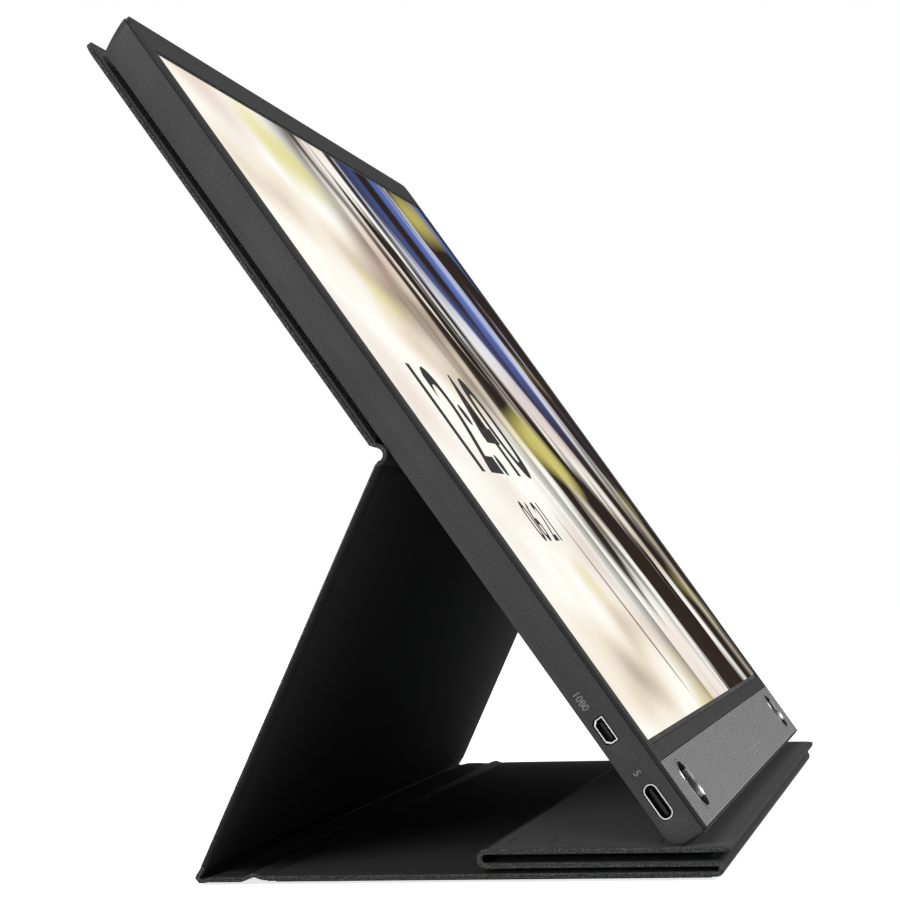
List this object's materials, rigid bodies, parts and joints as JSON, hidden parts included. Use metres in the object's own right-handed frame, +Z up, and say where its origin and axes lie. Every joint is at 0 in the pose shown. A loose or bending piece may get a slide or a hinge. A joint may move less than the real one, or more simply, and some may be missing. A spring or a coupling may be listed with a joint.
{
  "type": "portable monitor with folding cover",
  "caption": "Slim portable monitor leaning on its folding leather-look cover, whose strut, spine and base fold into a stand under the screen; ribbed chin with round-ended speaker openings.",
  "frame": {"origin": "on the table, at the middle of the footprint's bounding box", "axes": "+X along the width, to the right as the screen is read; -Y is the side the screen faces; +Z up from the table"},
  "size_m": [0.3632, 0.1428, 0.199],
  "materials": {
    "case": "fine textured black moulding",
    "frame": "fine textured",
    "strip": "fine ribs",
    "bright": "polished",
    "black": "smooth",
    "glass": "satin screen glass",
    "picture": "lit picture",
    "film": "clear",
    "metal": "bright sheet",
    "board": "circuit board",
    "cell": "foil wrapped cell",
    "ribbon": "flat cable",
    "button": "fine textured",
    "skin": "grained synthetic leather",
    "lining": "fine napped lining",
    "stiff": "pressed board",
    "magnet": "plated magnet"
  },
  "bodies": {
    "base": {"base_skin": "skin", "base_board": "stiff", "base_lining": "lining", "spine_crease": "skin", "front_crease": "skin"},
    "spine": {"spine_skin": "skin", "spine_board": "stiff", "spine_lining": "lining", "strut_crease": "skin"},
    "strut": {"strut_skin": "skin", "strut_board": "stiff", "strut_lining": "lining", "back_crease": "skin"},
    "middle": {"middle_skin": "skin", "middle_board": "stiff", "middle_lining": "lining", "rear_crease": "skin"},
    "top": {"top_skin": "skin", "top_board": "stiff", "top_lining": "lining"},
    "power_key": {"power_button": "button"},
    "menu_key": {"menu_button": "button"},
    "select_key": {"select_button": "button"},
    "monitor": {"rear_case": "case", "front_frame": "frame", "chin_strip": "strip", "speaker_rings": "bright", "speaker_meshes": "black", "speaker_left": "black", "speaker_right": "black", "lcd_glass": "glass", "lcd_picture": "picture", "diffuser_films": "film", "light_guide": "film", "led_bar": "film", "reflector_sheet": "film", "lcd_back_pan": "metal", "main_board": "board", "board_chips": "black", "panel_board": "board", "display_ribbon": "ribbon", "battery_left": "cell", "battery_right": "cell", "usb_shell": "metal", "usb_tongue": "black", "video_shell": "metal", "video_tongue": "black", "audio_jack": "black", "button_board": "board", "status_lens": "film", "case_magnets": "magnet", "case_screws": "metal", "upper_skin": "skin", "upper_board": "stiff", "upper_lining": "lining", "cover_magnets": "magnet"}
  },
  "joints": [
    {"name": "strut_fold", "type": "hinge", "parent": "spine", "child": "strut", "pos_m": [0, 0.04903, 0.001], "axis": [1, 0, 0], "range_deg": [-115.36, 0], "deforming": ["strut_crease"]},
    {"name": "spine_fold", "type": "hinge", "parent": "base", "child": "spine", "pos_m": [0, 0.03583, 0.001], "axis": [1, 0, 0], "range_deg": [-5, 0], "deforming": ["spine_crease"]},
    {"name": "back_fold", "type": "hinge", "parent": "strut", "child": "monitor", "pos_m": [0, 0.00384, 0.09633], "axis": [1, 0, 0], "range_deg": [0, 59.67], "deforming": ["back_crease"]},
    {"name": "front_fold", "type": "hinge", "parent": "base", "child": "middle", "pos_m": [0, -0.06847, 0.00235], "axis": [1, 0, 0], "range_deg": [0, 100.01], "deforming": ["front_crease"]},
    {"name": "rear_fold", "type": "hinge", "parent": "middle", "child": "top", "pos_m": [0, -0.01717, 0.00505], "axis": [1, 0, 0], "range_deg": [-75.01, 0], "deforming": ["rear_crease"]},
    {"name": "power_press", "type": "slide", "parent": "monitor", "child": "power_key", "axis": [-1, 0, 0], "range_m": [0, 0.0004], "stiffness_N_per_m": 1500},
    {"name": "menu_press", "type": "slide", "parent": "monitor", "child": "menu_key", "axis": [-1, 0, 0], "range_m": [0, 0.0004], "stiffness_N_per_m": 1500},
    {"name": "select_press", "type": "slide", "parent": "monitor", "child": "select_key", "axis": [-1, 0, 0], "range_m": [0, 0.0004], "stiffness_N_per_m": 1500}
  ],
  "couplings": [
    {"joint": "back_fold", "follows": "strut_fold", "ratio": -0.51718},
    {"joint": "front_fold", "follows": "strut_fold", "ratio": -0.86683},
    {"joint": "rear_fold", "follows": "strut_fold", "ratio": 0.65012}
  ]
}
